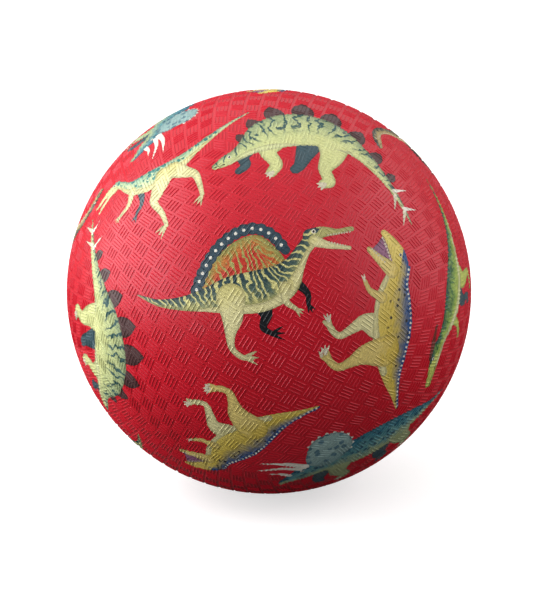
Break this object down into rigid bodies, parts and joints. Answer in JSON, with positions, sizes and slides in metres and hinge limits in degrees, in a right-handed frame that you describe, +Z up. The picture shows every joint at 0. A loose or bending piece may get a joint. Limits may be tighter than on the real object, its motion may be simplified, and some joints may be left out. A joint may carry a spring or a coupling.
{
  "type": "playground rubber ball",
  "caption": "Hand-sized inflatable rubber playground ball with an embossed basket-weave grip, printed animals and a flush needle valve.",
  "frame": {"origin": "centre of the ball", "axes": "+Z up as the ball lies on the ground, +Y out of the valve, so -Y is the side that faces the viewer"},
  "size_m": [0.18, 0.1799, 0.1796],
  "materials": {
    "cover_rubber": "satin moulded red rubber with an embossed basket weave and printed animals",
    "carcass_thread": "wound nylon thread, natural",
    "bladder_butyl": "matte black butyl",
    "valve_rubber": "matte black moulded rubber",
    "core_rubber": "matte dark grey soft rubber"
  },
  "bodies": {
    "root": {"cover": "cover_rubber", "carcass": "carcass_thread", "bladder": "bladder_butyl", "valve_patch": "valve_rubber", "valve_housing": "valve_rubber", "valve_core": "core_rubber"}
  },
  "joints": []
}
